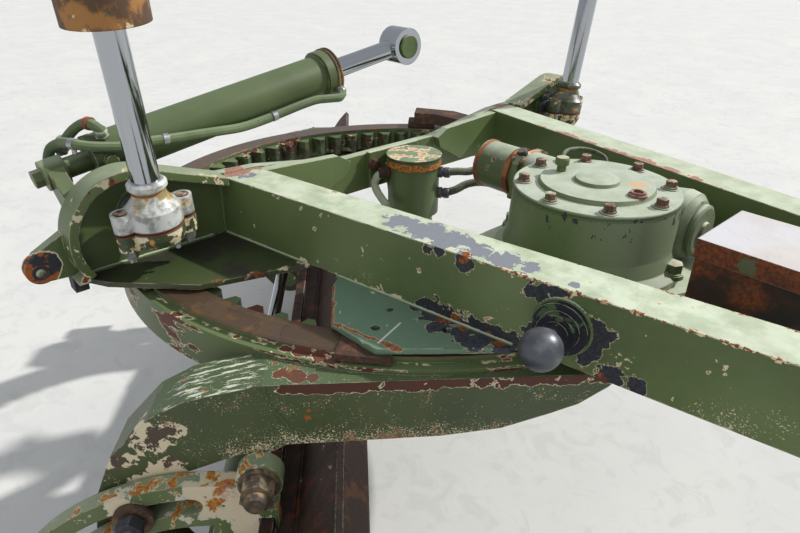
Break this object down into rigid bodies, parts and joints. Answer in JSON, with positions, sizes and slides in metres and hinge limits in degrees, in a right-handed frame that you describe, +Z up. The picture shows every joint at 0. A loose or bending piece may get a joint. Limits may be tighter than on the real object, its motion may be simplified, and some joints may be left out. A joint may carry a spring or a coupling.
{
  "type": "motor grader drawbar, circle and blade assembly",
  "caption": "A-shaped drawbar with a toothed circle, worm drive, pitching and sliding blade, lift cylinders and a side shift cylinder.",
  "frame": {"origin": "centre of the nose ball at the drawbar's front", "axes": "+X forward along the machine, +Y to its left, +Z up"},
  "size_m": [4.0988, 2.4398, 2.464],
  "materials": {
    "green_paint": "chipped green paint over cream and rust",
    "dark_green_paint": "worn dark green paint",
    "worn_ring": "bare brown polished wear band",
    "blade_steel": "brown rust",
    "rusty_steel": "flaking rust",
    "dark_steel": "dark blue-grey",
    "gear_steel": "greasy steel",
    "chrome_rod": "polished",
    "black_hose": "dusty black"
  },
  "bodies": {
    "drawbar": {"drawbar_arm_right": "green_paint", "drawbar_arm_left": "green_paint", "cross_plate": "green_paint", "wing_right": "green_paint", "wing_left": "green_paint", "rear_plate_right": "dark_green_paint", "rear_plate_left": "dark_green_paint", "shoe_plate_right": "green_paint", "shoe_plate_left": "green_paint", "guide_shoes": "rusty_steel", "hold_down_clips": "rusty_steel", "gearbox_deck": "green_paint", "nose_beam": "rusty_steel", "nose_block": "green_paint", "nose_ball_stud": "dark_steel", "gearbox_housing": "green_paint", "gearbox_cover": "green_paint", "worm_end_cover": "green_paint", "motor_flange": "green_paint", "drive_motor": "green_paint", "swivel_upper": "green_paint", "swivel_bracket": "green_paint", "lift_ball_right": "dark_steel", "lift_ball_left": "dark_steel", "spare_ball": "dark_steel", "side_shift_lug": "green_paint", "drive_hoses": "black_hose"},
    "pinion": {"drive_pinion": "gear_steel"},
    "circle": {"circle_ring": "worn_ring", "circle_arm_right": "green_paint", "circle_arm_left": "green_paint", "swivel_bar": "green_paint", "pitch_studs": "dark_steel"},
    "pitch_carrier": {"pitch_bracket_right": "green_paint", "pitch_bracket_left": "green_paint", "blade_shift_barrel": "green_paint"},
    "blade": {"moldboard": "blade_steel", "slide_rails": "green_paint", "cutting_edge_right": "rusty_steel", "cutting_edge_left": "rusty_steel", "end_bit_right": "rusty_steel", "end_bit_left": "rusty_steel", "blade_shift_rod": "chrome_rod"},
    "lift_rod_body_right": {"lift_rod_right": "chrome_rod"},
    "lift_rod_body_left": {"lift_rod_left": "chrome_rod"},
    "lift_barrel_body_right": {"lift_barrel_right": "green_paint"},
    "lift_barrel_body_left": {"lift_barrel_left": "green_paint"},
    "side_shift_barrel_body": {"side_shift_barrel": "green_paint", "side_shift_hoses": "black_hose"},
    "side_shift_rod_body": {"side_shift_rod": "chrome_rod"}
  },
  "joints": [
    {"name": "circle_turn", "type": "hinge", "parent": "drawbar", "child": "circle", "pos_m": [-2.4, 0, -0.088], "axis": [0, 0, 1], "continuous": true},
    {"name": "pinion_spin", "type": "hinge", "parent": "drawbar", "child": "pinion", "pos_m": [-1.8456, 0, -0.088], "axis": [0, 0, 1], "continuous": true},
    {"name": "blade_pitch", "type": "hinge", "parent": "circle", "child": "pitch_carrier", "pos_m": [-2.68013, -0.35217, -0.728], "axis": [-0.7826, 0.6225, 0], "range_deg": [-12, 20]},
    {"name": "blade_shift", "type": "slide", "parent": "pitch_carrier", "child": "blade", "axis": [-0.7826, 0.6225, 0], "range_m": [-0.33, 0.33]},
    {"name": "lift_swing_right", "type": "hinge", "parent": "drawbar", "child": "lift_rod_body_right", "pos_m": [-2.411, -0.72, 0.038], "axis": [1, 0, 0], "range_deg": [-12, 12]},
    {"name": "lift_stroke_right", "type": "slide", "parent": "lift_rod_body_right", "child": "lift_barrel_body_right", "axis": [0.054, -0.068, 0.9962], "range_m": [-0.27, 0.65]},
    {"name": "lift_swing_left", "type": "hinge", "parent": "drawbar", "child": "lift_rod_body_left", "pos_m": [-2.411, 0.72, 0.038], "axis": [1, 0, 0], "range_deg": [-12, 12]},
    {"name": "lift_stroke_left", "type": "slide", "parent": "lift_rod_body_left", "child": "lift_barrel_body_left", "axis": [0.054, 0.068, 0.9962], "range_m": [-0.27, 0.65]},
    {"name": "side_shift_swing", "type": "hinge", "parent": "drawbar", "child": "side_shift_barrel_body", "pos_m": [-2.6, -0.739, 0.138], "axis": [1, 0, 0], "range_deg": [-8, 12]},
    {"name": "side_shift_stroke", "type": "slide", "parent": "side_shift_barrel_body", "child": "side_shift_rod_body", "axis": [0, 0.9863, 0.165], "range_m": [-0.19, 0.24]}
  ],
  "couplings": [
    {"joint": "pinion_spin", "follows": "circle_turn", "ratio": 5.6667}
  ]
}
